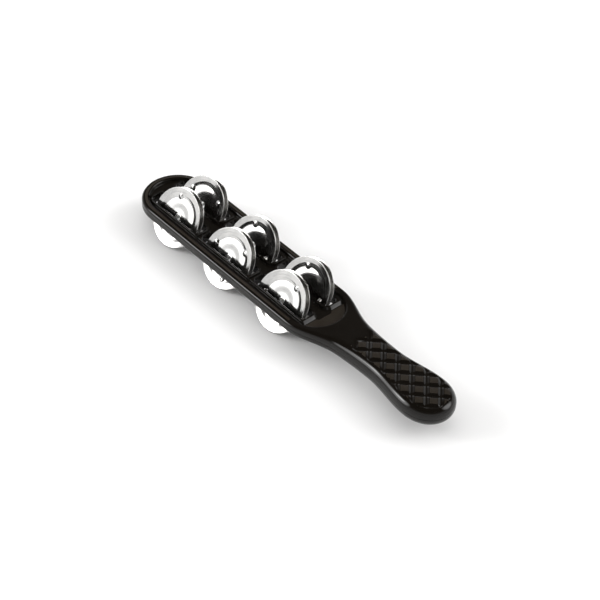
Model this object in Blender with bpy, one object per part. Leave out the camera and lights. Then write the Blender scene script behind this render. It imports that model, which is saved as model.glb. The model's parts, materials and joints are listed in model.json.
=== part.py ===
"""Jingle stick: a moulded two-shell stick that carries six pairs of steel jingles on pins.

The stick lies along X with its grip at +X. Its split plane is the local plane z = 0, the
middle pins stand at local x = 0, and -Y is the left side seen from the grip. One empty
carries every piece and sets the origin: the middle of the footprint, at the level of the
lowest jingle rims. Lengths are in metres.
"""
import math

import bmesh
import bpy
from mathutils import Euler, Matrix, Vector

MM = 0.001

# Stick outline
HEAD_RADIUS = 24.3 * MM
HEAD_CENTRE_X = -64.2 * MM
SHOULDER_X = 70.0 * MM
WAIST_X = 103.8 * MM
NECK_X = 132.1 * MM
GRIP_WIDE_X = 166.7 * MM
TIP_X = 187.7 * MM
WAIST_HALF_WIDTH = 14.9 * MM
WAIST_SLOPE = -0.13
NECK_HALF_WIDTH = 13.3 * MM
GRIP_HALF_WIDTH = 17.7 * MM
TIP_ROUNDNESS = 2.2

# Thickness, from the split plane outwards
SHELL_GAP = 0.3 * MM
HEAD_HALF_HEIGHT = 3.75 * MM
GRIP_HALF_HEIGHT = 7.2 * MM
HEAD_FILLET = 1.8 * MM
GRIP_FILLET = 6.6 * MM
FLOOR_HEIGHT = 1.4 * MM
LIP_HEIGHT = 3.4 * MM
WALL = 2.4 * MM
CAVITY_START_X = 112.0 * MM
CAVITY_NOSE = 5.0 * MM

# Windows: three along the stick, each split into two slots by the centre rib
WINDOW_PITCH = 51.5 * MM
WINDOW_COUNT = 3
SLOT_LENGTH = 47.6 * MM
SLOT_INNER_Y = 4.4 * MM
SLOT_OUTER_Y = 15.05 * MM
SLOT_CORNER = 3.0 * MM
LIP_WIDTH = 1.2 * MM
PANEL_HALF_WIDTH = 19.1 * MM
PANEL_END_CENTRE_X = 70.5 * MM
PANEL_END_FLAT = 0.01 * MM

# Grip pattern: square pads on a lattice turned by 45 degrees
PAD_DIAGONAL = 12.3 * MM
PAD_CENTRE_X = 122.3 * MM
PAD_CENTRE_Y = 3.07 * MM
PATTERN_START_X = 112.0 * MM
PATTERN_END_X = 181.0 * MM
GROOVE_WIDTH = 2.0 * MM
GROOVE_DEPTH = 0.9 * MM
GROOVE_EDGE_INSET = 4.6 * MM
GROOVE_CLIP_STEPS = 60
GROOVE_MIN_STEPS = 5

# Pins
PIN_RADIUS = 0.8 * MM
PIN_END_IN_SHELL = 3.2 * MM
PIN_CLEARANCE = 0.25 * MM

# Jingles, hanging on their pins with their tops leaned towards +Y
JINGLE_RADIUS = 20.0 * MM
JINGLE_THICKNESS = 0.5 * MM
JINGLE_HOLE_RADIUS = 2.3 * MM
FLANGE_INNER_RADIUS = 17.2 * MM
CUP_FLOOR_RADIUS = 13.3 * MM
FLANGE_INNER_DEPTH = 0.9 * MM
CUP_DEPTH = 1.4 * MM
JINGLE_LEAN = math.radians(32.0)
JINGLE_HANG = 0.5 * MM
SLOT_MIDDLE_Y = (SLOT_INNER_Y + SLOT_OUTER_Y) / 2
PAIR_MIDDLE_Y = 10.15 * MM
PAIR_HALF_SPACING = 0.5 * MM

# Mesh fineness
END_STEPS = 14
SIDE_STEPS = 14
FILLET_STEPS = 3
JINGLE_SEGMENTS = 28
PIN_SEGMENTS = 12
CORNER_STEPS = 3

BLACK_PLASTIC = (0.012, 0.012, 0.013, 1.0)
NICKEL = (0.78, 0.77, 0.74, 1.0)
PIN_STEEL = (0.55, 0.55, 0.56, 1.0)


def clear_scene():
    """Remove every object that the file starts with."""
    for item in list(bpy.data.objects):
        bpy.data.objects.remove(item, do_unlink=True)


def make_material(name, colour, metallic, roughness):
    """Return a Principled BSDF material."""
    material = bpy.data.materials.new(name)
    material.use_nodes = True
    shader = material.node_tree.nodes["Principled BSDF"]
    shader.inputs["Base Color"].default_value = colour
    shader.inputs["Metallic"].default_value = metallic
    shader.inputs["Roughness"].default_value = roughness
    return material


def add_object(name, mesh, parent, material=None):
    """Link an object that carries the mesh and rides on the parent."""
    item = bpy.data.objects.new(name, mesh)
    bpy.context.collection.objects.link(item)
    item.parent = parent
    if material is not None and not mesh.materials:
        mesh.materials.append(material)
    return item


def finish_mesh(name, work, sharp_angle=35.0):
    """Turn a bmesh into a mesh with outward faces, smooth across shallow edges."""
    bmesh.ops.recalc_face_normals(work, faces=work.faces)
    mesh = bpy.data.meshes.new(name)
    work.to_mesh(mesh)
    work.free()
    mesh.shade_smooth()
    mesh.set_sharp_from_angle(angle=math.radians(sharp_angle))
    return mesh


def smooth_step(value):
    """Ease from 0 to 1 as the value goes from 0 to 1."""
    value = min(max(value, 0.0), 1.0)
    return value * value * (3.0 - 2.0 * value)


def hermite(x, start, end):
    """Cubic through two (x, value, slope) knots."""
    x0, value0, slope0 = start
    x1, value1, slope1 = end
    run = x1 - x0
    t = (x - x0) / run
    return (
        value0 * (1 + 2 * t) * (1 - t) ** 2
        + slope0 * run * t * (1 - t) ** 2
        + value1 * t * t * (3 - 2 * t)
        - slope1 * run * t * t * (1 - t)
    )


def half_width(x):
    """Half the stick's width between the head's round end and its tip."""
    shoulder = (SHOULDER_X, HEAD_RADIUS, 0.0)
    waist = (WAIST_X, WAIST_HALF_WIDTH, WAIST_SLOPE)
    neck = (NECK_X, NECK_HALF_WIDTH, 0.0)
    wide = (GRIP_WIDE_X, GRIP_HALF_WIDTH, 0.0)
    if x <= SHOULDER_X:
        return HEAD_RADIUS
    if x <= WAIST_X:
        return hermite(x, shoulder, waist)
    if x <= NECK_X:
        return hermite(x, waist, neck)
    if x <= GRIP_WIDE_X:
        return hermite(x, neck, wide)
    reach = min((x - GRIP_WIDE_X) / (TIP_X - GRIP_WIDE_X), 1.0)
    return GRIP_HALF_WIDTH * math.sqrt(1.0 - reach ** TIP_ROUNDNESS)


def right_side():
    """Points of the outline's +Y side, from the head's end to the tip."""
    points = []
    for step in range(END_STEPS + 1):
        angle = math.pi - math.pi / 2 * step / END_STEPS
        points.append(Vector((
            HEAD_CENTRE_X + HEAD_RADIUS * math.cos(angle),
            HEAD_RADIUS * math.sin(angle),
        )))
    for start, end in ((SHOULDER_X, WAIST_X), (WAIST_X, NECK_X), (NECK_X, GRIP_WIDE_X)):
        for step in range(SIDE_STEPS // 2):
            x = start + (end - start) * step * 2 / SIDE_STEPS
            points.append(Vector((x, half_width(x))))
    for step in range(END_STEPS + 1):
        angle = math.pi / 2 * step / END_STEPS
        x = GRIP_WIDE_X + (TIP_X - GRIP_WIDE_X) * math.sin(angle)
        points.append(Vector((x, half_width(x))))
    points[0].y = 0.0
    points[-1].y = 0.0
    return points


def inward_normals(side):
    """Unit normals of the +Y side that point into the stick."""
    normals = []
    for index, point in enumerate(side):
        if index == 0:
            normals.append(Vector((1.0, 0.0)))
        elif index == len(side) - 1:
            normals.append(Vector((-1.0, 0.0)))
        else:
            run = (side[index + 1] - side[index - 1]).normalized()
            normals.append(Vector((run.y, -run.x)))
    return normals


def grip_share(x):
    """0 on the head, 1 on the grip, easing across the shoulders."""
    return smooth_step((x - SHOULDER_X) / (NECK_X - SHOULDER_X))


def blend(head_value, grip_value, x):
    """Ease a dimension from its head value to its grip value."""
    share = grip_share(x)
    return head_value * (1.0 - share) + grip_value * share


def ring_of(side, heights):
    """Full loop of 3-D points from a +Y side and its heights, mirrored to -Y."""
    right = [Vector((p.x, p.y, z)) for p, z in zip(side, heights)]
    left = [Vector((p.x, -p.y, p.z)) for p in reversed(right[1:-1])]
    return right + left


def add_loft(work, rings):
    """Join the rings one above the other, and close both ends across the stick."""
    loops = [[work.verts.new(point) for point in ring] for ring in rings]
    count = len(loops[0])
    for lower, upper in zip(loops, loops[1:]):
        for index in range(count):
            following = (index + 1) % count
            work.faces.new((lower[index], lower[following], upper[following], upper[index]))
    for loop in (loops[0], loops[-1]):
        last = count // 2
        work.faces.new((loop[0], loop[1], loop[count - 1]))
        for index in range(1, last - 1):
            work.faces.new((loop[index], loop[index + 1], loop[count - index - 1], loop[count - index]))
        work.faces.new((loop[last - 1], loop[last], loop[last + 1]))


def shell_blank():
    """Upper half of the stick as one solid, with its rounded top edge."""
    side = right_side()
    normals = inward_normals(side)
    base = SHELL_GAP / 2
    rings = [ring_of(side, [base] * len(side))]
    for step in range(FILLET_STEPS + 1):
        angle = math.pi / 2 * step / FILLET_STEPS
        points = []
        heights = []
        for point, normal in zip(side, normals):
            fillet = blend(HEAD_FILLET, GRIP_FILLET, point.x)
            top = blend(HEAD_HALF_HEIGHT, GRIP_HALF_HEIGHT, point.x)
            moved = point + normal * fillet * (1.0 - math.cos(angle))
            moved.y = max(moved.y, 0.0)
            points.append(moved)
            heights.append(top - fillet * (1.0 - math.sin(angle)))
        rings.append(ring_of(points, heights))
    work = bmesh.new()
    add_loft(work, rings)
    return finish_mesh("shell_half", work)


def add_prism(work, outline, bottom, top):
    """Closed upright prism over a counter-clockwise outline."""
    low = [work.verts.new((x, y, bottom)) for x, y in outline]
    high = [work.verts.new((x, y, top)) for x, y in outline]
    count = len(outline)
    for index in range(count):
        following = (index + 1) % count
        work.faces.new((low[index], low[following], high[following], high[index]))
    work.faces.new(list(reversed(low)))
    work.faces.new(high)


def rounded_rectangle(centre_x, centre_y, length, width, radius, steps):
    """Counter-clockwise outline with round corners."""
    points = []
    corners = ((1, 1, 0.0), (-1, 1, 90.0), (-1, -1, 180.0), (1, -1, 270.0))
    for sign_x, sign_y, start in corners:
        x = centre_x + sign_x * (length / 2 - radius)
        y = centre_y + sign_y * (width / 2 - radius)
        for step in range(steps + 1):
            angle = math.radians(start + 90.0 * step / steps)
            points.append((x + radius * math.cos(angle), y + radius * math.sin(angle)))
    return points


def window_centres():
    """Local x of each window's pins, from the head's end to the grip."""
    middle = (WINDOW_COUNT - 1) / 2
    return [(index - middle) * WINDOW_PITCH for index in range(WINDOW_COUNT)]


def panel_cutter():
    """Recess of the head: a long round-ended pocket above the windows."""
    outline = rounded_rectangle(
        (HEAD_CENTRE_X + PANEL_END_CENTRE_X) / 2,
        0.0,
        PANEL_END_CENTRE_X - HEAD_CENTRE_X + 2 * PANEL_HALF_WIDTH,
        2 * PANEL_HALF_WIDTH,
        PANEL_HALF_WIDTH - PANEL_END_FLAT,
        END_STEPS // 2,
    )
    work = bmesh.new()
    add_prism(work, outline, FLOOR_HEIGHT, GRIP_HALF_HEIGHT)
    return finish_mesh("panel_cutter", work)


def slot_prisms(name, grow, bottom, top):
    """Prisms over the six slots, each grown outwards on all sides."""
    work = bmesh.new()
    for x in window_centres():
        for side in (-1, 1):
            outline = rounded_rectangle(
                x,
                side * SLOT_MIDDLE_Y,
                SLOT_LENGTH + 2 * grow,
                SLOT_OUTER_Y - SLOT_INNER_Y + 2 * grow,
                SLOT_CORNER + grow,
                CORNER_STEPS,
            )
            add_prism(work, outline, bottom, top)
    return finish_mesh(name, work)


def cavity_cutter():
    """Hollow of the grip, open at the split plane."""
    side = []
    for point, normal in zip(right_side(), inward_normals(right_side())):
        moved = point + normal * WALL
        if moved.x > CAVITY_START_X:
            side.append(Vector((moved.x, max(moved.y, 0.0))))
    side.insert(0, Vector((CAVITY_START_X, side[0].y)))
    side.insert(0, Vector((CAVITY_START_X - CAVITY_NOSE, 0.0)))
    side[-1].y = 0.0
    fillet = GRIP_FILLET - WALL
    rings = [ring_of(side, [-GRIP_HALF_HEIGHT] * len(side))]
    for step in range(FILLET_STEPS):
        angle = math.pi / 2 * step / (FILLET_STEPS - 1)
        shrink = 1.0 - fillet * (1.0 - math.cos(angle)) / GRIP_HALF_WIDTH
        points = [Vector((p.x, p.y * shrink)) for p in side]
        heights = []
        for point in side:
            top = blend(HEAD_HALF_HEIGHT, GRIP_HALF_HEIGHT, point.x) - WALL - GROOVE_DEPTH
            heights.append(top - fillet * (1.0 - math.sin(angle)) * top / GRIP_HALF_HEIGHT)
        rings.append(ring_of(points, heights))
    work = bmesh.new()
    add_loft(work, rings)
    return finish_mesh("cavity_cutter", work)


def pin_half_length():
    """Half a pin's length: half its slot and the end that the shells hold."""
    return (SLOT_OUTER_Y - SLOT_INNER_Y) / 2 + PIN_END_IN_SHELL


def seat_cutter():
    """Round seats, half in each shell, that hold the pins' ends."""
    work = bmesh.new()
    for x in window_centres():
        for side in (-1, 1):
            place = Matrix.Translation((x, side * SLOT_MIDDLE_Y, 0.0)) @ Matrix.Rotation(math.pi / 2, 4, "X")
            bmesh.ops.create_cone(
                work,
                cap_ends=True,
                segments=PIN_SEGMENTS,
                radius1=PIN_RADIUS + PIN_CLEARANCE,
                radius2=PIN_RADIUS + PIN_CLEARANCE,
                depth=2 * (pin_half_length() + PIN_CLEARANCE),
                matrix=place,
            )
    return finish_mesh("seat_cutter", work)


def groove_crossings(turn):
    """Local x where the centre lines of one set of grooves cross the stick's middle."""
    first = PAD_CENTRE_X - turn * PAD_CENTRE_Y - PAD_DIAGONAL / 2
    before = math.ceil((first - PATTERN_START_X + GRIP_HALF_WIDTH) / PAD_DIAGONAL)
    after = math.ceil((PATTERN_END_X + GRIP_HALF_WIDTH - first) / PAD_DIAGONAL)
    return [first + index * PAD_DIAGONAL for index in range(-before, after + 1)]


def groove_cutter(name, turn):
    """Parallel grooves between the grip's pads, at +45 or -45 degrees to the stick."""
    work = bmesh.new()
    floor = GRIP_HALF_HEIGHT - GROOVE_DEPTH
    for crossing in groove_crossings(turn):
        clipped = clip_groove(crossing, turn)
        if clipped is None:
            continue
        (x0, y0), (x1, y1) = clipped
        across = Vector((y0 - y1, x1 - x0)).normalized() * GROOVE_WIDTH / 2
        outline = [
            (x0 + across.x, y0 + across.y),
            (x0 - across.x, y0 - across.y),
            (x1 - across.x, y1 - across.y),
            (x1 + across.x, y1 + across.y),
        ]
        add_prism(work, outline, floor, GRIP_HALF_HEIGHT + WALL)
    return finish_mesh(name, work)


def clip_groove(crossing, turn):
    """Ends of a groove's centre line inside the pattern's border, or None if it hardly enters."""
    inside = []
    for step in range(-GROOVE_CLIP_STEPS, GROOVE_CLIP_STEPS + 1):
        y = GRIP_HALF_WIDTH * step / GROOVE_CLIP_STEPS
        x = crossing + turn * y
        if PATTERN_START_X <= x <= PATTERN_END_X and abs(y) < half_width(x) - GROOVE_EDGE_INSET:
            inside.append((x, y))
    if len(inside) < GROOVE_MIN_STEPS:
        return None
    return inside[0], inside[-1]


def combine(target, steps, parent):
    """Add or cut the meshes of the steps in turn, and keep only the result."""
    cutters = []
    for operation, mesh in steps:
        cutter = add_object(mesh.name, mesh, parent)
        cutter.hide_render = True
        cutter.display_type = "WIRE"
        cutters.append(cutter)
        modifier = target.modifiers.new(mesh.name, "BOOLEAN")
        modifier.operation = operation
        modifier.solver = "EXACT"
        modifier.object = cutter
    bpy.context.view_layer.update()
    evaluated = target.evaluated_get(bpy.context.evaluated_depsgraph_get())
    result = bpy.data.meshes.new_from_object(evaluated)
    target.modifiers.clear()
    target.data = result
    for cutter in cutters:
        bpy.data.objects.remove(cutter, do_unlink=True)


def build_shells(stick, plastic):
    """Upper and lower shell: one moulding, turned over for the lower side."""
    upper = add_object("upper_shell", shell_blank(), stick, plastic)
    combine(
        upper,
        [
            ("DIFFERENCE", panel_cutter()),
            ("UNION", slot_prisms("slot_lips", LIP_WIDTH, FLOOR_HEIGHT / 2, LIP_HEIGHT)),
            ("DIFFERENCE", slot_prisms("slot_cutter", 0.0, -GRIP_HALF_HEIGHT, GRIP_HALF_HEIGHT)),
            ("DIFFERENCE", cavity_cutter()),
            ("DIFFERENCE", seat_cutter()),
            ("DIFFERENCE", groove_cutter("groove_cutter_left", 1)),
            ("DIFFERENCE", groove_cutter("groove_cutter_right", -1)),
        ],
        stick,
    )
    lower = add_object("lower_shell", upper.data, stick)
    lower.rotation_euler = Euler((math.pi, 0.0, 0.0))
    return upper, lower


def pin_mesh():
    """Plain steel pin along Y."""
    work = bmesh.new()
    bmesh.ops.create_cone(
        work,
        cap_ends=True,
        segments=PIN_SEGMENTS,
        radius1=PIN_RADIUS,
        radius2=PIN_RADIUS,
        depth=2 * pin_half_length(),
        matrix=Matrix.Rotation(math.pi / 2, 4, "X"),
    )
    return finish_mesh("pin", work)


def jingle_profile():
    """Closed section (radius, height) of a jingle: hub at height 0, rim at -CUP_DEPTH."""
    front = (
        (JINGLE_HOLE_RADIUS, 0.0),
        (CUP_FLOOR_RADIUS, 0.0),
        (FLANGE_INNER_RADIUS, -FLANGE_INNER_DEPTH),
        (JINGLE_RADIUS, -CUP_DEPTH),
    )
    half = JINGLE_THICKNESS / 2
    lower = [(radius, height - half) for radius, height in front]
    upper = [(radius, height + half) for radius, height in reversed(front)]
    return lower + upper


def jingle_mesh():
    """Pressed steel disc turned about Z, its cup opening downwards."""
    work = bmesh.new()
    loops = []
    for step in range(JINGLE_SEGMENTS):
        angle = 2 * math.pi * step / JINGLE_SEGMENTS
        loop = []
        for radius, height in jingle_profile():
            loop.append(work.verts.new((radius * math.cos(angle), radius * math.sin(angle), height)))
        loops.append(loop)
    points = len(loops[0])
    for index, loop in enumerate(loops):
        following = loops[(index + 1) % JINGLE_SEGMENTS]
        for point in range(points):
            after = (point + 1) % points
            work.faces.new((loop[point], following[point], following[after], loop[after]))
    return finish_mesh("jingle", work)


def jingle_pivot_y(side, half):
    """Local y where a jingle hangs on its pin; half is -1 for the disc nearer -Y."""
    return side * PAIR_MIDDLE_Y + half * PAIR_HALF_SPACING


def place_jingle(name, mesh, stick, x, pivot_y, half):
    """Hang a jingle from an empty on its lean axis, its cup facing away from its partner."""
    pivot = bpy.data.objects.new(name + "_lean_axis", None)
    bpy.context.collection.objects.link(pivot)
    pivot.parent = stick
    pivot.location = (x, pivot_y, 0.0)
    pivot.rotation_euler = Euler((-JINGLE_LEAN, 0.0, 0.0))
    jingle = bpy.data.objects.new(name, mesh)
    bpy.context.collection.objects.link(jingle)
    jingle.parent = pivot
    jingle.location = (0.0, 0.0, -JINGLE_HANG)
    jingle.rotation_euler = Euler((half * math.pi / 2, 0.0, 0.0))
    return jingle


def build_jingles(stick, nickel):
    """Twelve jingles: two on each pin, back to back."""
    mesh = jingle_mesh()
    mesh.materials.append(nickel)
    for index, x in enumerate(window_centres(), start=1):
        for side, side_name in ((-1, "left"), (1, "right")):
            for half in (-1, 1):
                place_name = "outer" if half == side else "inner"
                name = f"jingle_{side_name}_{index}_{place_name}"
                place_jingle(name, mesh, stick, x, jingle_pivot_y(side, half), half)


def build_pins(stick, steel):
    """Six pins, one across each slot."""
    mesh = pin_mesh()
    mesh.materials.append(steel)
    for index, x in enumerate(window_centres(), start=1):
        for side, side_name in ((-1, "left"), (1, "right")):
            pin = add_object(f"pin_{side_name}_{index}", mesh, stick)
            pin.location = (x, side * SLOT_MIDDLE_Y, 0.0)


def lowest_rim():
    """Local z of the lowest jingle rim, on the discs whose cups face +Y."""
    rim_centre = -JINGLE_HANG * math.cos(JINGLE_LEAN) - CUP_DEPTH * math.sin(JINGLE_LEAN)
    half_edge = JINGLE_THICKNESS / 2 * math.sin(JINGLE_LEAN)
    return rim_centre - JINGLE_RADIUS * math.cos(JINGLE_LEAN) - half_edge


def add_stick_axes():
    """Empty that puts the origin under the middle of the footprint."""
    stick = bpy.data.objects.new("stick_axes", None)
    bpy.context.collection.objects.link(stick)
    head_end = HEAD_CENTRE_X - HEAD_RADIUS
    stick.location = (-(head_end + TIP_X) / 2, 0.0, -lowest_rim())
    return stick


def main():
    clear_scene()
    plastic = make_material("black_plastic", BLACK_PLASTIC, 0.0, 0.22)
    nickel = make_material("nickel_plate", NICKEL, 1.0, 0.16)
    steel = make_material("pin_steel", PIN_STEEL, 1.0, 0.3)
    stick = add_stick_axes()
    build_shells(stick, plastic)
    build_pins(stick, steel)
    build_jingles(stick, nickel)


main()
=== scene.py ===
"""Looks of a jingle stick: glossy black shells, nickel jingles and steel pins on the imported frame.

The stick's own axes have their origin at the middle of the stick's split plane, under the
middle pins: +X runs to the grip and +Z out of the upper shell. Lengths are in millimetres
until a mesh is written, and in metres from there on.
"""

import json
import math

import bmesh
import bpy
from mathutils import Euler, Matrix, Vector, kdtree
from mathutils.geometry import delaunay_2d_cdt

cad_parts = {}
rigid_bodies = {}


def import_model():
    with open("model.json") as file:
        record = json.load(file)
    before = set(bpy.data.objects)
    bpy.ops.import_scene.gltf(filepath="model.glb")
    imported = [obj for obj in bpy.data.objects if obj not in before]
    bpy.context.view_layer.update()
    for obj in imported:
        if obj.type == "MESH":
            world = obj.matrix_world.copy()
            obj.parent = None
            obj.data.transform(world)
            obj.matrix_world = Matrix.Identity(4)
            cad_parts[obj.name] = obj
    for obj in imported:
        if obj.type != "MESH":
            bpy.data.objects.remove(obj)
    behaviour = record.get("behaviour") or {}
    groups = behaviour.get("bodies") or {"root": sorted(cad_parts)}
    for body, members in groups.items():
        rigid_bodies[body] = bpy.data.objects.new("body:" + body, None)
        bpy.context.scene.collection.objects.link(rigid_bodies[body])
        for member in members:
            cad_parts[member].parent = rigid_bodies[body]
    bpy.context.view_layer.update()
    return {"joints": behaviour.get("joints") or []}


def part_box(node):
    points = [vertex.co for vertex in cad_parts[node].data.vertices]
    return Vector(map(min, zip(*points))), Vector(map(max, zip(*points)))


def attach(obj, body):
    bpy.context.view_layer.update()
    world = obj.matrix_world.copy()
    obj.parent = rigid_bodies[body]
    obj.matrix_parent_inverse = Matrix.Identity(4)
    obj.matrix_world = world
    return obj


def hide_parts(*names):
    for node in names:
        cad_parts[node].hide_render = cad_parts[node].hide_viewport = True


MM = 0.001

# Outline of the stick
HEAD_RADIUS = 24.3
HEAD_CENTRE_X = -64.2
SHOULDER_X = 70.0
WAIST_X = 103.8
NECK_X = 132.1
GRIP_WIDE_X = 166.7
TIP_X = 187.7
WAIST_HALF_WIDTH = 14.9
WAIST_SLOPE = -0.13
NECK_HALF_WIDTH = 13.3
GRIP_HALF_WIDTH = 17.7
TIP_ROUNDNESS = 2.2

# Heights above the split plane
HEAD_HALF_HEIGHT = 3.75
GRIP_HALF_HEIGHT = 7.2
HEAD_FILLET = 1.8
GRIP_FILLET = 6.6
FLOOR_HEIGHT = 1.4
LIP_HEIGHT = 3.4
SEAM_HEIGHT = 0.03

# Recess, slots and their lips
RECESS_HALF_WIDTH = 19.1
RECESS_END_CENTRE_X = 70.5
WINDOW_PITCH = 51.5
SLOT_LENGTH = 47.6
SLOT_INNER_Y = 4.4
SLOT_OUTER_Y = 15.05
SLOT_CORNER = 3.0
LIP_WIDTH = 1.2
LIP_OUTER_CORNER = 1.0
CROWN_START = 1.4
CROWN_END = 3.1
LIP_RAMP = 0.4
LIP_RAMP_LAST = 1.5

# Grip pattern: square pads on a lattice turned by 45 degrees
PAD_DIAGONAL = 12.3
PAD_CENTRE = (122.3, 3.07)
PAD_HALF = 3.3
PAD_CORNER = 0.7
PAD_WALL = 1.7
PAD_CROWN = 0.2
GROOVE_DEPTH = 1.1
PATTERN_START_X = 108.0
PATTERN_EDGE = 3.4
PATTERN_FADE = 1.6

# Jingles
JINGLE_RADIUS = 20.0
JINGLE_HALF_THICKNESS = 0.25
JINGLE_HOLE_RADIUS = 2.3
FLANGE_INNER_RADIUS = 17.2
FLANGE_RISE = 0.5
CUP_FLOOR_RADIUS = 13.3
SWELL_RADIUS = 10.0
SWELL_HALF_WIDTH = 4.4
SWELL_HEIGHT = 0.14
RIM_BEAD = 0.28
CUP_DEPTH = 1.4
JINGLE_LEAN = math.radians(32.0)
JINGLE_HANG = 0.5
DIMPLE_RADIUS = 2.2
DIMPLE_DEPTH = 0.85
DIMPLE_CIRCLE = 14.1
DIMPLE_TURN = {
    "left_1": 111.0,
    "left_2": 44.0,
    "left_3": 66.0,
    "right_1": 34.5,
    "right_2": 113.0,
    "right_3": 114.5,
}
PARTNER_TURN = 37.0

# Pins
PIN_RADIUS = 0.8
PIN_END_IN_SHELL = 3.2
PIN_HALF_LENGTH = (SLOT_OUTER_Y - SLOT_INNER_Y) / 2 + PIN_END_IN_SHELL
PIN_END_ROUND = 0.3

# Directions of the two soft banks of light
WALL_TONES = (
    (0.0, (1.0, 1.0, 1.0)),
    (0.24, (0.95, 0.95, 0.95)),
    (0.5, (0.14, 0.13, 0.12)),
    (0.8, (0.05, 0.045, 0.04)),
)
WHITE = (1.0, 1.0, 1.0)
LEFT_BANK = (-0.55, -0.70, 0.45)
LEFT_BANK_SPREAD = (5.0, 20.0)
LEFT_BANK_STRENGTH = 6.0
EDGE_BANK = (-0.565, -0.65, 0.51)
EDGE_BANK_SPREAD = (2.0, 9.0)
EDGE_BANK_STRENGTH = 10.0
BACK_BANK = (0.52, 0.62, 0.56)
BACK_BANK_SPREAD = (6.0, 24.0)
BACK_BANK_STRENGTH = 5.0
FILL_PLACE = (0.0, 0.0, 2.2)
FILL_SIZE = (4.0, 4.0)
FILL_POWER = 68.0

# Camera, in the stick's own axes
CAMERA_PLACE = (657.5, -589.6, 757.1)
CAMERA_AIM = (57.96, -1.29, 0.0)
CAMERA_ROLL = 4.411
CAMERA_LENS = 108.9


def smooth_step(value):
    value = min(max(value, 0.0), 1.0)
    return value * value * (3.0 - 2.0 * value)


def hermite(x, start, end):
    """Cubic through two (x, value, slope) knots."""
    x0, value0, slope0 = start
    x1, value1, slope1 = end
    run = x1 - x0
    t = (x - x0) / run
    return (
        value0 * (1 + 2 * t) * (1 - t) ** 2
        + slope0 * run * t * (1 - t) ** 2
        + value1 * t * t * (3 - 2 * t)
        - slope1 * run * t * t * (1 - t)
    )


def half_width(x):
    """Half the stick's width between the head's round end and its tip."""
    shoulder = (SHOULDER_X, HEAD_RADIUS, 0.0)
    waist = (WAIST_X, WAIST_HALF_WIDTH, WAIST_SLOPE)
    neck = (NECK_X, NECK_HALF_WIDTH, 0.0)
    wide = (GRIP_WIDE_X, GRIP_HALF_WIDTH, 0.0)
    if x <= SHOULDER_X:
        return HEAD_RADIUS
    if x <= WAIST_X:
        return hermite(x, shoulder, waist)
    if x <= NECK_X:
        return hermite(x, waist, neck)
    if x <= GRIP_WIDE_X:
        return hermite(x, neck, wide)
    reach = min((x - GRIP_WIDE_X) / (TIP_X - GRIP_WIDE_X), 1.0)
    return GRIP_HALF_WIDTH * math.sqrt(1.0 - reach ** TIP_ROUNDNESS)


def outline_points(step):
    """Closed outline of the stick, counter-clockwise from above, about one point per step."""
    side = []
    arc_steps = int(HEAD_RADIUS * math.pi / 2 / step)
    for index in range(arc_steps):
        angle = math.pi - math.pi / 2 * index / arc_steps
        side.append((HEAD_CENTRE_X + HEAD_RADIUS * math.cos(angle), HEAD_RADIUS * math.sin(angle)))
    knots = (HEAD_CENTRE_X, SHOULDER_X, WAIST_X, NECK_X, GRIP_WIDE_X)
    for start, end in zip(knots, knots[1:]):
        steps = int((end - start) / step)
        for index in range(steps):
            x = start + (end - start) * index / steps
            side.append((x, half_width(x)))
    tip_steps = int((TIP_X - GRIP_WIDE_X) * math.pi / 2 / step)
    for index in range(tip_steps + 1):
        x = GRIP_WIDE_X + (TIP_X - GRIP_WIDE_X) * math.sin(math.pi / 2 * index / tip_steps)
        side.append((x, half_width(x)))
    side[0] = (side[0][0], 0.0)
    side[-1] = (TIP_X, 0.0)
    lower = [(x, -y) for x, y in side]
    upper = list(reversed(side[1:-1]))
    return [Vector(point) for point in lower + upper]


def inward_normals(points):
    """Unit normals of a counter-clockwise outline that point into it."""
    count = len(points)
    normals = []
    for index in range(count):
        run = (points[(index + 1) % count] - points[index - 1]).normalized()
        normals.append(Vector((-run.y, run.x)))
    return normals


def blend(head_value, grip_value, x):
    """Ease a dimension from its head value to its grip value across the shoulders."""
    share = smooth_step((x - SHOULDER_X) / (NECK_X - SHOULDER_X))
    return head_value * (1.0 - share) + grip_value * share


def distance_tree(points):
    tree = kdtree.KDTree(len(points))
    for index, point in enumerate(points):
        tree.insert((point[0], point[1], 0.0), index)
    tree.balance()
    return tree


OUTLINE_TREE = distance_tree(outline_points(0.1))


def inset_of(x, y):
    """How far a point lies inside the outline."""
    return OUTLINE_TREE.find((x, y, 0.0))[2]


def skin_height(x, inset):
    """Height of the stick's plain top at an inset from the outline."""
    fillet = blend(HEAD_FILLET, GRIP_FILLET, x)
    top = blend(HEAD_HALF_HEIGHT, GRIP_HALF_HEIGHT, x)
    short = max(fillet - inset, 0.0)
    return top - fillet + math.sqrt(fillet * fillet - short * short)


def pad_offset(x, y):
    """Signed distance of a point from the nearest pad's rounded square, positive in a groove."""
    side = PAD_DIAGONAL / math.sqrt(2)
    along = (x - PAD_CENTRE[0] + y - PAD_CENTRE[1]) / math.sqrt(2)
    across = (y - PAD_CENTRE[1] - x + PAD_CENTRE[0]) / math.sqrt(2)
    u = abs(along - round(along / side) * side) - PAD_HALF + PAD_CORNER
    v = abs(across - round(across / side) * side) - PAD_HALF + PAD_CORNER
    outside = math.hypot(max(u, 0.0), max(v, 0.0))
    return outside + min(max(u, v), 0.0) - PAD_CORNER


def pattern_share(x, inset):
    """How deep the grip pattern is: 1 inside it, fading to 0 at its border."""
    across = smooth_step((inset - PATTERN_EDGE) / PATTERN_FADE)
    along = smooth_step((x - PATTERN_START_X) / 9.0)
    return across * along


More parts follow.
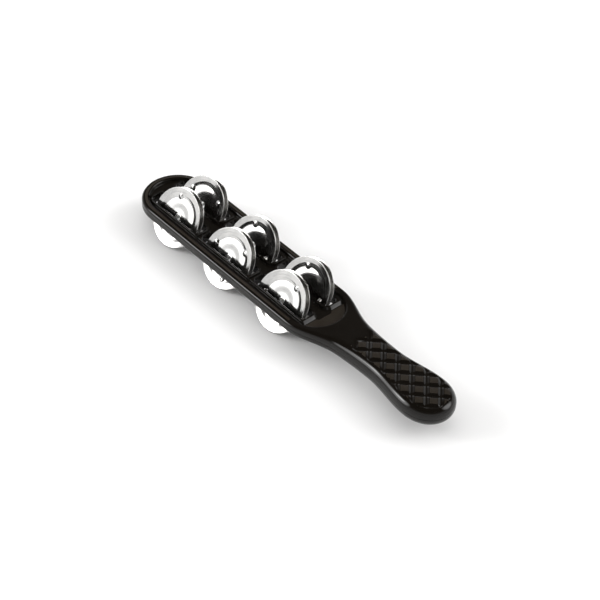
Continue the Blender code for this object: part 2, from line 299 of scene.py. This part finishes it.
def top_height(x, y):
    """Height of the shoulders and the grip, with the pads."""
    inset = inset_of(x, y)
    height = skin_height(x, inset)
    share = pattern_share(x, inset)
    if share > 0.0:
        offset = pad_offset(x, y)
        groove = min(max(offset / PAD_WALL + 0.5, 0.0), 1.0)
        crown = PAD_CROWN * min(max(-offset / PAD_HALF, 0.0), 1.0)
        height += share * (crown - PAD_CROWN - (GROOVE_DEPTH - PAD_CROWN) * groove)
    return height


def stadium(grow):
    """Outline of the recess, grown outwards."""
    radius = RECESS_HALF_WIDTH + grow
    points = []
    for centre, start in ((RECESS_END_CENTRE_X, -90.0), (HEAD_CENTRE_X, 90.0)):
        for step in range(49):
            angle = math.radians(start + 180.0 * step / 48)
            points.append((centre + radius * math.cos(angle), radius * math.sin(angle)))
    return spaced(points, 4.0)


def spaced(points, longest):
    """The closed outline with its long edges split."""
    made = []
    for index, start in enumerate(points):
        end = points[(index + 1) % len(points)]
        run = math.dist(start, end)
        pieces = max(1, math.ceil(run / longest))
        for piece in range(pieces):
            t = piece / pieces
            made.append((start[0] + (end[0] - start[0]) * t, start[1] + (end[1] - start[1]) * t))
    return made


def slot_outline(x, side, grow, outer_corner):
    """Outline of a slot grown outwards; the corners on the rim's side have their own radius."""
    corners = []
    inner_corner = SLOT_CORNER + grow
    outer = max(outer_corner, 0.12)
    for sign_x, sign_y, start in ((1, 1, 0.0), (-1, 1, 90.0), (-1, -1, 180.0), (1, -1, 270.0)):
        radius = outer if sign_y == side else inner_corner
        middle = side * (SLOT_INNER_Y + SLOT_OUTER_Y) / 2
        centre_x = x + sign_x * (SLOT_LENGTH / 2 + grow - radius)
        centre_y = middle + sign_y * ((SLOT_OUTER_Y - SLOT_INNER_Y) / 2 + grow - radius)
        for step in range(9):
            angle = math.radians(start + 90.0 * step / 8)
            corners.append((centre_x + radius * math.cos(angle), centre_y + radius * math.sin(angle)))
    return spaced(corners, 3.0)


def window_centres():
    return [-WINDOW_PITCH, 0.0, WINDOW_PITCH]


class Sheet:
    """Points and closed loops of a surface seen from above, joined into triangles at the end."""

    def __init__(self):
        self.points = []
        self.edges = []

    def add_loop(self, loop):
        start = len(self.points)
        self.points.extend(loop)
        count = len(loop)
        self.edges.extend((start + index, start + (index + 1) % count) for index in range(count))

    def scatter(self, candidates, clearance, height):
        """Add free points that keep clear of those already there."""
        tree = distance_tree(self.points)
        for x, y in candidates:
            if tree.find((x, y, 0.0))[2] > clearance:
                self.points.append((x, y, height(x, y)))

    def triangles(self, keep):
        flat = [Vector((x, y)) for x, y, _ in self.points]
        made = delaunay_2d_cdt(flat, self.edges, [], 0, 1e-5, True)
        places, faces, origins = made[0], made[2], made[3]
        corners = []
        for place, origin in zip(places, origins):
            if origin:
                corners.append(self.points[origin[0]])
            else:
                corners.append((place.x, place.y, top_height(place.x, place.y)))
        kept = []
        for face in faces:
            x = sum(corners[index][0] for index in face) / 3
            y = sum(corners[index][1] for index in face) / 3
            if keep(x, y):
                kept.append(face)
        return corners, kept


def in_slot(x, y):
    """True over one of the six slots."""
    for centre in window_centres():
        across = abs(abs(y) - (SLOT_INNER_Y + SLOT_OUTER_Y) / 2)
        along = abs(x - centre)
        u = along - SLOT_LENGTH / 2 + SLOT_CORNER
        v = across - (SLOT_OUTER_Y - SLOT_INNER_Y) / 2 + SLOT_CORNER
        if max(u, v) < SLOT_CORNER and math.hypot(max(u, 0.0), max(v, 0.0)) < SLOT_CORNER:
            return True
    return False


def shell_rings(points, normals):
    """Rings of the shell's side, from the seam to where the top sheet takes over."""
    rings = []
    for inset, height in ((0.45, SEAM_HEIGHT), (0.1, SEAM_HEIGHT + 0.02), (0.0, SEAM_HEIGHT + 0.14)):
        rings.append([(*(p + n * inset), height) for p, n in zip(points, normals)])
    for rise in (0.12, 0.5, 0.9, 1.0):
        ring = []
        for p in points:
            start = SEAM_HEIGHT + 0.14
            end = skin_height(p.x, 0.0)
            ring.append((p.x, p.y, start + (end - start) * rise))
        rings.append(ring)
    for step in range(1, 11):
        ring = []
        for p, n in zip(points, normals):
            end_angle = blend(90.0, 56.0, p.x)
            angle = math.radians(end_angle * step / 10)
            inset = blend(HEAD_FILLET, GRIP_FILLET, p.x) * (1.0 - math.cos(angle))
            place = p + n * inset
            ring.append((place.x, place.y, skin_height(p.x, inset)))
        rings.append(ring)
    return rings


def top_sheet(border):
    """The top from the side's last ring inwards: rim, recess, lips, shoulders and pads."""
    sheet = Sheet()
    sheet.add_loop(border)
    rim_profile = (
        (CROWN_END, 0.0),
        (CROWN_START, 0.0),
        (0.95, 0.05),
        (0.6, 0.2),
        (0.3, 0.46),
        (0.12, 0.75),
        (0.03, 1.1),
    )
    for grow, drop in rim_profile:
        sheet.add_loop([(x, y, skin_height(x, inset_of(x, y)) - drop) for x, y in stadium(grow)])
    for grow, rise in ((-0.07, 0.6), (-0.18, 0.28), (-0.38, 0.09), (-0.68, 0.0)):
        sheet.add_loop([(x, y, FLOOR_HEIGHT + rise) for x, y in stadium(grow)])
    lip_profile = (
        (LIP_WIDTH + 0.5, FLOOR_HEIGHT),
        (LIP_WIDTH + 0.24, FLOOR_HEIGHT + 0.08),
        (LIP_WIDTH + 0.08, FLOOR_HEIGHT + 0.3),
        (LIP_WIDTH, LIP_HEIGHT - 0.3),
        (LIP_WIDTH - 0.08, LIP_HEIGHT - 0.12),
        (LIP_WIDTH - 0.28, LIP_HEIGHT),
        (0.28, LIP_HEIGHT),
        (0.08, LIP_HEIGHT - 0.1),
        (0.0, LIP_HEIGHT - 0.3),
    )
    for x in window_centres():
        ramp_run = LIP_RAMP_LAST if x == WINDOW_PITCH else LIP_RAMP
        for side in (-1, 1):
            for grow, height in lip_profile:
                share = min(grow / LIP_WIDTH, 1.0)
                corner = SLOT_CORNER * (1.0 - share) + LIP_OUTER_CORNER * share + max(grow - LIP_WIDTH, 0.0)
                run = 0.0
                if grow > LIP_WIDTH / 2:
                    run = ramp_run * (LIP_HEIGHT - height) / (LIP_HEIGHT - FLOOR_HEIGHT)
                start = x + SLOT_LENGTH / 2 + grow - SLOT_CORNER
                outline = []
                for px, py in slot_outline(x, side, grow, corner):
                    shift = run * smooth_step((px - start) / SLOT_CORNER)
                    outline.append((px + shift, py, height))
                sheet.add_loop(outline)
    sheet.scatter(top_grid(), 0.3, top_height)
    sheet.scatter(badge_grid(), 0.8, lambda x, y: FLOOR_HEIGHT)
    return sheet


def badge_grid():
    """Free points of the flat half disc between the last lips and the recess's end."""
    reach = int(RECESS_HALF_WIDTH)
    start = int(RECESS_END_CENTRE_X)
    places = [(x, y) for x in range(start, start + reach, 2) for y in range(-reach, reach + 1, 2)]
    return [(x, y) for x, y in places if on_badge(x, y, FLOOR_HEIGHT)]


def pad_lines(reach):
    """Grid lines of the pad pattern, close together on the walls between pads."""
    side = PAD_DIAGONAL / math.sqrt(2)
    steps = (0.0, 1.1, 2.0, 2.35, 2.5, 2.8, 3.15, 3.5, 3.85, 4.1)
    within = [sign * step for step in steps for sign in (-1, 1) if step or sign > 0]
    lines = []
    for index in range(-reach, reach + 1):
        lines.extend(index * side + step for step in within)
        lines.append((index + 0.5) * side)
    return sorted(lines)


def top_grid():
    """Free points of the shoulders and the grip, lined up with the pads."""
    candidates = []
    turn = math.sqrt(0.5)
    lines = pad_lines(9)
    for i, u in enumerate(lines):
        for j, v in enumerate(lines):
            x = PAD_CENTRE[0] + (u - v) * turn
            y = PAD_CENTRE[1] + (u + v) * turn
            if x < RECESS_END_CENTRE_X or x > TIP_X or abs(y) > half_width(x):
                continue
            if x < PATTERN_START_X and (i % 4 or j % 4):
                continue
            if math.hypot(x - RECESS_END_CENTRE_X, y) < RECESS_HALF_WIDTH + 1.6:
                continue
            edge = blend(HEAD_FILLET, GRIP_FILLET * (1 - math.cos(math.radians(56.0))), x)
            if inset_of(x, y) > edge + 0.3:
                candidates.append((x, y))
    return candidates


def on_badge(x, y, z):
    """True on the flat half disc at the recess's handle end, which has a satin finish."""
    if z > FLOOR_HEIGHT + 0.05 or x < WINDOW_PITCH + SLOT_LENGTH / 2 + LIP_WIDTH + LIP_RAMP_LAST + 0.3:
        return False
    return math.hypot(x - RECESS_END_CENTRE_X, y) < RECESS_HALF_WIDTH - 0.4


def on_pad(x, y, z):
    """True on the flat of a pad in the grip's pattern, which has a satin finish."""
    if x < PATTERN_START_X or pattern_share(x, inset_of(x, y)) < 0.35:
        return False
    return pad_offset(x, y) < 0.02 - PAD_WALL / 2


def on_crown(x, y, z):
    """True on the band along the top of the head's rim, which gets the lighter satin plastic as a painted
    sheen; the real rim top is the same glossy plastic as the shoulders.
    """
    if x > RECESS_END_CENTRE_X or z < HEAD_HALF_HEIGHT - 0.01:
        return False
    return CROWN_START - 0.01 < HEAD_RADIUS - RECESS_HALF_WIDTH - inset_of(x, y) < CROWN_END + 0.01


# Faces for the lighter satin material: a real satin finish on the badge and the pads, a painted sheen on the
# rim's crown band.
def is_satin_or_painted_sheen(point):
    return on_badge(*point) or on_pad(*point) or on_crown(*point)


def build_shell(name):
    """One shell: side rings, top sheet, slot walls and the face on the split plane."""
    points = outline_points(2.2)
    normals = inward_normals(points)
    rings = shell_rings(points, normals)
    work = bmesh.new()
    known = {}

    def vert(point):
        key = (round(point[0], 3), round(point[1], 3), round(point[2], 3))
        if key not in known:
            known[key] = work.verts.new((point[0] * MM, point[1] * MM, point[2] * MM))
        return known[key]

    for lower, upper in zip(rings, rings[1:]):
        count = len(lower)
        for index in range(count):
            following = (index + 1) % count
            corners = [vert(lower[index]), vert(lower[following]), vert(upper[following]), vert(upper[index])]
            unique = list(dict.fromkeys(corners))
            if len(unique) > 2:
                work.faces.new(unique)
    sheet = top_sheet(rings[-1])
    border = [Vector(p[:2]) for p in rings[-1]]
    corners, faces = sheet.triangles(lambda x, y: not in_slot(x, y) and inside(border, x, y))
    for face in faces:
        verts = list(dict.fromkeys(vert(corners[index]) for index in face))
        if len(verts) == 3:
            made = work.faces.new(verts)
            # The second material is satin on the badge and pads, and a painted sheen on the rim's crown band.
            if all(is_satin_or_painted_sheen(corners[index]) for index in face):
                made.material_index = 1
    base = Sheet()
    base.add_loop(rings[0])
    for x in window_centres():
        for side in (-1, 1):
            outline = slot_outline(x, side, 0.0, SLOT_CORNER)
            low = [(px, py, SEAM_HEIGHT) for px, py in outline]
            high = [(px, py, LIP_HEIGHT - 0.3) for px, py in outline]
            base.add_loop(low)
            count = len(low)
            for index in range(count):
                following = (index + 1) % count
                work.faces.new([
                    vert(low[following]), vert(low[index]), vert(high[index]), vert(high[following]),
                ])
    base_border = [Vector(p[:2]) for p in rings[0]]
    corners, faces = base.triangles(lambda x, y: not in_slot(x, y) and inside(base_border, x, y))
    for face in faces:
        verts = list(dict.fromkeys(vert(corners[index]) for index in reversed(face)))
        if len(verts) == 3:
            work.faces.new(verts)
    bmesh.ops.recalc_face_normals(work, faces=work.faces)
    mesh = bpy.data.meshes.new(name)
    work.to_mesh(mesh)
    work.free()
    mesh.shade_smooth()
    mesh.set_sharp_from_angle(angle=math.radians(50.0))
    return mesh


def inside(border, x, y):
    """True if a point lies within a closed outline."""
    hit = False
    previous = border[-1]
    for point in border:
        if (point.y > y) != (previous.y > y):
            cross = (previous.x - point.x) * (y - point.y) / (previous.y - point.y) + point.x
            if x < cross:
                hit = not hit
        previous = point
    return hit


def jingle_section():
    """Radii and heights of a jingle's middle surface, from the hole to the rim."""
    radii = [JINGLE_HOLE_RADIUS + 0.1 * step for step in range(4)]
    radii += [0.4 * step for step in range(7, 50)]
    radii = [radius for radius in radii if radius < JINGLE_RADIUS - 3 * RIM_BEAD]
    radii += [JINGLE_RADIUS - RIM_BEAD * share for share in (2.6, 2.2, 1.8, 1.4, 1.0)]
    section = []
    for radius in sorted(set(round(radius, 3) for radius in radii)):
        wall = smooth_step((radius - CUP_FLOOR_RADIUS) / (FLANGE_INNER_RADIUS - CUP_FLOOR_RADIUS))
        flange = FLANGE_RISE * max(0.0, radius - FLANGE_INNER_RADIUS) / (JINGLE_RADIUS - FLANGE_INNER_RADIUS)
        across = min(abs(radius - SWELL_RADIUS) / SWELL_HALF_WIDTH, 1.0)
        swell = SWELL_HEIGHT * (0.5 + 0.5 * math.cos(math.pi * across))
        curl = 0.12 * max(0.0, (JINGLE_HOLE_RADIUS + 0.5 - radius) / 0.5) ** 2
        section.append((radius, -(CUP_DEPTH - FLANGE_RISE) * wall - flange - swell - curl))
    return section


def dimple_rise(radius, angle):
    """Height of the three round bumps pressed into the disc's outer side."""
    rise = 0.0
    for index in range(3):
        turn = 2 * math.pi * index / 3
        x = radius * math.cos(angle) - DIMPLE_CIRCLE * math.cos(turn)
        y = radius * math.sin(angle) - DIMPLE_CIRCLE * math.sin(turn)
        reach = math.hypot(x, y) / DIMPLE_RADIUS
        if reach < 1.0:
            rise += DIMPLE_DEPTH * smooth_step((1.0 - reach) / 0.8)
    return rise


def build_jingle_mesh(name, material, dimple_turn):
    """Pressed disc turned about Z: concave side down, with a beaded rim and three bumps."""
    segments = 168
    work = bmesh.new()
    section = jingle_section()
    rings = []
    bead_radius = JINGLE_RADIUS - RIM_BEAD
    for side in (-1, 1):
        for radius, height in (section if side < 0 else reversed(section)):
            swollen = smooth_step((radius - bead_radius + 2 * RIM_BEAD) / (2 * RIM_BEAD))
            half = JINGLE_HALF_THICKNESS + (RIM_BEAD - JINGLE_HALF_THICKNESS) * swollen
            rings.append((radius, height, side * half))
        if side < 0:
            rim = section[-1][1]
            for angle in (-60, -30, 0, 30, 60):
                turn = math.radians(angle)
                rings.append((bead_radius + RIM_BEAD * math.cos(turn), rim, RIM_BEAD * math.sin(turn)))
    loops = []
    for radius, height, offset in rings:
        loop = []
        for step in range(segments):
            angle = 2 * math.pi * step / segments
            x = radius * math.cos(angle)
            y = radius * math.sin(angle)
            z = height + offset - dimple_rise(radius, angle - dimple_turn)
            loop.append(work.verts.new((x * MM, y * MM, z * MM)))
        loops.append(loop)
    loops.append(loops[0])
    for lower, upper in zip(loops, loops[1:]):
        for step in range(segments):
            following = (step + 1) % segments
            work.faces.new((lower[step], lower[following], upper[following], upper[step]))
    bmesh.ops.recalc_face_normals(work, faces=work.faces)
    mesh = bpy.data.meshes.new(name)
    work.to_mesh(mesh)
    work.free()
    mesh.shade_smooth()
    mesh.set_sharp_from_angle(angle=math.radians(50.0))
    mesh.materials.append(material)
    return mesh


def node(tree, kind, **values):
    """Add a shader node; values go to its inputs by name, or to its properties."""
    made = tree.nodes.new(kind)
    for name, value in values.items():
        if name in made.inputs:
            made.inputs[name].default_value = value
        else:
            setattr(made, name, value)
    return made


def new_material(name):
    material = bpy.data.materials.new(name)
    material.use_nodes = True
    return material, material.node_tree, material.node_tree.nodes["Principled BSDF"]


def ramp(tree, stops):
    made = tree.nodes.new("ShaderNodeValToRGB")
    elements = made.color_ramp.elements
    while len(elements) < len(stops):
        elements.new(0.5)
    for element, (position, value) in zip(elements, stops):
        element.position = position
        element.color = value if len(value) == 4 else (*value, 1.0)
    return made


def black_plastic(name, tone, smooth, rough, grain, strength):
    """Black moulded plastic: faint mottling, soft wiped patches and a fine grain."""
    material, tree, shader = new_material(name)
    link = tree.links.new
    place = node(tree, "ShaderNodeTexCoord")
    mottle = node(tree, "ShaderNodeTexNoise", Scale=55.0, Detail=4.0, Roughness=0.6)
    link(place.outputs["Object"], mottle.inputs["Vector"])
    dark = (0.9 * tone, 0.7 * tone, 0.5 * tone)
    light = (1.35 * tone, 1.1 * tone, 0.85 * tone)
    colour = ramp(tree, ((0.3, dark), (0.75, light)))
    link(mottle.outputs["Fac"], colour.inputs["Fac"])
    link(colour.outputs["Color"], shader.inputs["Base Color"])
    wiped = node(tree, "ShaderNodeTexNoise", Scale=28.0, Detail=3.0, Roughness=0.55)
    link(place.outputs["Object"], wiped.inputs["Vector"])
    finish = ramp(tree, ((0.35, (smooth, smooth, smooth)), (0.72, (rough, rough, rough))))
    link(wiped.outputs["Fac"], finish.inputs["Fac"])
    link(finish.outputs["Color"], shader.inputs["Roughness"])
    peel = node(tree, "ShaderNodeTexNoise", Scale=grain, Detail=2.0)
    link(place.outputs["Object"], peel.inputs["Vector"])
    bump = node(tree, "ShaderNodeBump", Strength=strength, Distance=0.0001)
    link(peel.outputs["Fac"], bump.inputs["Height"])
    link(bump.outputs["Normal"], shader.inputs["Normal"])
    shader.inputs["Specular IOR Level"].default_value = 0.3
    return material


def nickel_plate():
    """Bright nickel on spun steel: fine turning rings, slight tarnish in random patches."""
    material, tree, shader = new_material("bright_nickel")
    link = tree.links.new
    place = node(tree, "ShaderNodeTexCoord")
    split = node(tree, "ShaderNodeSeparateXYZ")
    link(place.outputs["Object"], split.inputs["Vector"])
    flat = node(tree, "ShaderNodeCombineXYZ")
    link(split.outputs["X"], flat.inputs["X"])
    link(split.outputs["Y"], flat.inputs["Y"])
    length = node(tree, "ShaderNodeVectorMath", operation="LENGTH")
    link(flat.outputs["Vector"], length.inputs[0])
    along = node(tree, "ShaderNodeCombineXYZ")
    link(length.outputs["Value"], along.inputs["X"])
    rings = node(tree, "ShaderNodeTexNoise", Scale=4200.0, Detail=3.0, Roughness=0.7)
    link(along.outputs["Vector"], rings.inputs["Vector"])
    bump = node(tree, "ShaderNodeBump", Strength=0.12, Distance=0.00004)
    link(rings.outputs["Fac"], bump.inputs["Height"])
    link(bump.outputs["Normal"], shader.inputs["Normal"])
    stain = node(tree, "ShaderNodeTexNoise", Scale=140.0, Detail=5.0, Roughness=0.65)
    link(place.outputs["Object"], stain.inputs["Vector"])
    colour = ramp(tree, ((0.3, (0.54, 0.535, 0.525)), (0.62, (0.63, 0.625, 0.615))))
    link(stain.outputs["Fac"], colour.inputs["Fac"])
    link(colour.outputs["Color"], shader.inputs["Base Color"])
    rough = ramp(tree, ((0.3, (0.17, 0.17, 0.17)), (0.7, (0.12, 0.12, 0.12))))
    link(stain.outputs["Fac"], rough.inputs["Fac"])
    link(rough.outputs["Color"], shader.inputs["Roughness"])
    shader.inputs["Metallic"].default_value = 1.0
    return material


def pin_steel():
    """Drawn steel wire with fine scratches along it."""
    material, tree, shader = new_material("drawn_steel")
    link = tree.links.new
    place = node(tree, "ShaderNodeTexCoord")
    stretch = node(tree, "ShaderNodeMapping")
    stretch.inputs["Scale"].default_value = (4000.0, 150.0, 4000.0)
    link(place.outputs["Object"], stretch.inputs["Vector"])
    scratch = node(tree, "ShaderNodeTexNoise", Scale=1.0, Detail=2.0)
    link(stretch.outputs["Vector"], scratch.inputs["Vector"])
    colour = ramp(tree, ((0.3, (0.42, 0.42, 0.42)), (0.7, (0.6, 0.6, 0.59))))
    link(scratch.outputs["Fac"], colour.inputs["Fac"])
    link(colour.outputs["Color"], shader.inputs["Base Color"])
    rough = ramp(tree, ((0.3, (0.22, 0.22, 0.22)), (0.7, (0.34, 0.34, 0.34))))
    link(scratch.outputs["Fac"], rough.inputs["Fac"])
    link(rough.outputs["Color"], shader.inputs["Roughness"])
    shader.inputs["Metallic"].default_value = 1.0
    return material


def pale_floor():
    """Matt pale studio floor."""
    material, tree, shader = new_material("pale_floor")
    place = node(tree, "ShaderNodeTexCoord")
    cloud = node(tree, "ShaderNodeTexNoise", Scale=3.0, Detail=2.0)
    tree.links.new(place.outputs["Object"], cloud.inputs["Vector"])
    colour = ramp(tree, ((0.3, (0.83, 0.83, 0.83)), (0.7, (0.85, 0.85, 0.85))))
    tree.links.new(cloud.outputs["Fac"], colour.inputs["Fac"])
    tree.links.new(colour.outputs["Color"], shader.inputs["Base Color"])
    shader.inputs["Roughness"].default_value = 0.7
    return material


def add_object(name, mesh):
    item = bpy.data.objects.new(name, mesh)
    bpy.context.scene.collection.objects.link(item)
    return item


def stick_origin():
    """Place of the stick's own origin in the frame."""
    low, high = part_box("pin_left_2")
    middle = (low + high) / 2
    return Vector((middle.x, 0.0, middle.z))


def build_shells(origin):
    mesh = build_shell("shell")
    mesh.materials.append(black_plastic("glossy_black_plastic", 0.0042, 0.06, 0.11, 900.0, 0.05))
    # Lighter satin tone: a real finish on the badge and pads, a painted sheen on the head rim's crown band.
    mesh.materials.append(black_plastic("satin_black_plastic_and_painted_sheen", 0.0165, 0.32, 0.45, 1600.0, 0.5))
    for name, turn in (("upper_shell_skin", 0.0), ("lower_shell_skin", math.pi)):
        shell = add_object(name, mesh)
        shell.location = origin
        shell.rotation_euler = Euler((turn, 0.0, 0.0))
        normals = shell.modifiers.new("weighted_normals", "WEIGHTED_NORMAL")
        normals.keep_sharp = True
        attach(shell, "stick")
        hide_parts(name.removesuffix("_skin"))


def build_jingles(frame, nickel):
    for joint in frame["joints"]:
        child = joint["child"]
        side, index, place = child.split("_")[1:]
        side_sign = -1 if side == "left" else 1
        half = side_sign if place == "outer" else -side_sign
        turn = math.radians(DIMPLE_TURN[f"{side}_{index}"])
        if half > 0:
            turn += math.radians(PARTNER_TURN)
        disc = add_object(child + "_disc", build_jingle_mesh(child, nickel, half * turn))
        disc.matrix_world = (
            Matrix.Translation(Vector(joint["pos_m"]))
            @ Matrix.Rotation(-JINGLE_LEAN, 4, "X")
            @ Matrix.Translation((0.0, 0.0, -JINGLE_HANG * MM))
            @ Matrix.Rotation(half * math.pi / 2, 4, "X")
        )
        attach(disc, child)
        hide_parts(child)


def build_pin_mesh(steel):
    """Drawn wire pin along Y with rounded ends."""
    segments = 48
    profile = [(0.0, -PIN_HALF_LENGTH)]
    for step in range(7):
        turn = math.radians(15.0 * step)
        radius = PIN_RADIUS - PIN_END_ROUND * (1.0 - math.sin(turn))
        profile.append((radius, -PIN_HALF_LENGTH + PIN_END_ROUND * (1.0 - math.cos(turn))))
    straight = PIN_HALF_LENGTH - PIN_END_ROUND
    profile += [(PIN_RADIUS, -straight + 2 * straight * step / 12) for step in range(1, 12)]
    profile += [(radius, -y) for radius, y in reversed(profile[:8])]
    work = bmesh.new()
    tips = [work.verts.new((0.0, y * MM, 0.0)) for radius, y in (profile[0], profile[-1])]
    loops = []
    for radius, y in profile[1:-1]:
        loop = []
        for step in range(segments):
            angle = 2 * math.pi * step / segments
            x = radius * math.cos(angle)
            z = radius * math.sin(angle)
            loop.append(work.verts.new((x * MM, y * MM, z * MM)))
        loops.append(loop)
    for step in range(segments):
        following = (step + 1) % segments
        work.faces.new((tips[0], loops[0][step], loops[0][following]))
        work.faces.new((tips[1], loops[-1][following], loops[-1][step]))
        for lower, upper in zip(loops, loops[1:]):
            work.faces.new((lower[step], lower[following], upper[following], upper[step]))
    bmesh.ops.recalc_face_normals(work, faces=work.faces)
    mesh = bpy.data.meshes.new("pin")
    work.to_mesh(mesh)
    work.free()
    mesh.shade_smooth()
    mesh.set_sharp_from_angle(angle=math.radians(50.0))
    mesh.materials.append(steel)
    return mesh


def build_pins():
    mesh = build_pin_mesh(pin_steel())
    for side in ("left", "right"):
        for index in (1, 2, 3):
            name = f"pin_{side}_{index}"
            low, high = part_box(name)
            pin = add_object(name + "_wire", mesh)
            pin.location = (low + high) / 2
            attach(pin, "stick")
            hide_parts(name)


def build_floor():
    work = bmesh.new()
    bmesh.ops.create_grid(work, x_segments=8, y_segments=8, size=4.0)
    mesh = bpy.data.meshes.new("studio_floor")
    work.to_mesh(mesh)
    work.free()
    mesh.materials.append(pale_floor())
    floor = add_object("studio_floor", mesh)
    floor.location.z = -0.0002


def add_light(name, place, aim, size, power):
    lamp = bpy.data.lights.new(name, "AREA")
    lamp.shape = "RECTANGLE"
    lamp.size, lamp.size_y = size
    lamp.energy = power
    item = bpy.data.objects.new(name, lamp)
    bpy.context.scene.collection.objects.link(item)
    item.location = place
    item.rotation_euler = (Vector(aim) - Vector(place)).to_track_quat("-Z", "Y").to_euler()
    return item


def add_lobe(tree, direction, inner, outer, strength, colour):
    """Soft round bank of light in the surroundings; inner and outer are its angular radii in degrees."""
    link = tree.links.new
    place = node(tree, "ShaderNodeTexCoord")
    facing = node(tree, "ShaderNodeVectorMath", operation="DOT_PRODUCT")
    link(place.outputs["Generated"], facing.inputs[0])
    facing.inputs[1].default_value = Vector(direction).normalized()
    edge = node(tree, "ShaderNodeMapRange", interpolation_type="SMOOTHSTEP")
    edge.inputs["From Min"].default_value = math.cos(math.radians(outer))
    edge.inputs["From Max"].default_value = math.cos(math.radians(inner))
    edge.inputs["To Max"].default_value = strength
    link(facing.outputs["Value"], edge.inputs["Value"])
    light = node(tree, "ShaderNodeBackground", Color=(*colour, 1.0))
    link(edge.outputs["Result"], light.inputs["Strength"])
    return light


def add_sum(tree, first, second):
    total = tree.nodes.new("ShaderNodeAddShader")
    tree.links.new(first.outputs[0], total.inputs[0])
    tree.links.new(second.outputs[0], total.inputs[1])
    return total


def build_surroundings():
    """Studio walls: bright near the horizon, dark overhead, with three soft banks of light."""
    world = bpy.data.worlds.new("studio")
    world.use_nodes = True
    tree = world.node_tree
    link = tree.links.new
    place = node(tree, "ShaderNodeTexCoord")
    split = node(tree, "ShaderNodeSeparateXYZ")
    link(place.outputs["Generated"], split.inputs["Vector"])
    walls = ramp(tree, WALL_TONES)
    link(split.outputs["Z"], walls.inputs["Fac"])
    background = tree.nodes["Background"]
    link(walls.outputs["Color"], background.inputs["Color"])
    left = add_lobe(tree, LEFT_BANK, *LEFT_BANK_SPREAD, LEFT_BANK_STRENGTH, WHITE)
    right = add_lobe(tree, BACK_BANK, *BACK_BANK_SPREAD, BACK_BANK_STRENGTH, WHITE)
    edge = add_lobe(tree, EDGE_BANK, *EDGE_BANK_SPREAD, EDGE_BANK_STRENGTH, WHITE)
    total = add_sum(tree, add_sum(tree, background, edge), add_sum(tree, left, right))
    link(total.outputs[0], tree.nodes["World Output"].inputs["Surface"])
    bpy.context.scene.world = world


def build_studio(origin):
    build_surroundings()
    fill = add_light("overhead_fill", FILL_PLACE, origin, FILL_SIZE, FILL_POWER)
    fill.visible_glossy = False


def build_camera(origin):
    data = bpy.data.cameras.new("camera")
    data.lens = CAMERA_LENS
    camera = bpy.data.objects.new("camera", data)
    bpy.context.scene.collection.objects.link(camera)
    place = origin + Vector(CAMERA_PLACE) * MM
    aim = origin + Vector(CAMERA_AIM) * MM
    look = (aim - place).to_track_quat("-Z", "Y").to_matrix().to_4x4()
    roll = Matrix.Rotation(math.radians(CAMERA_ROLL), 4, "Z")
    camera.matrix_world = Matrix.Translation(place) @ look @ roll
    bpy.context.scene.camera = camera
    bpy.context.scene.view_settings.view_transform = "Standard"


def main():
    for item in list(bpy.data.objects):
        bpy.data.objects.remove(item, do_unlink=True)
    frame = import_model()
    origin = stick_origin()
    build_shells(origin)
    build_jingles(frame, nickel_plate())
    build_pins()
    build_floor()
    build_studio(origin)
    build_camera(origin)


main()
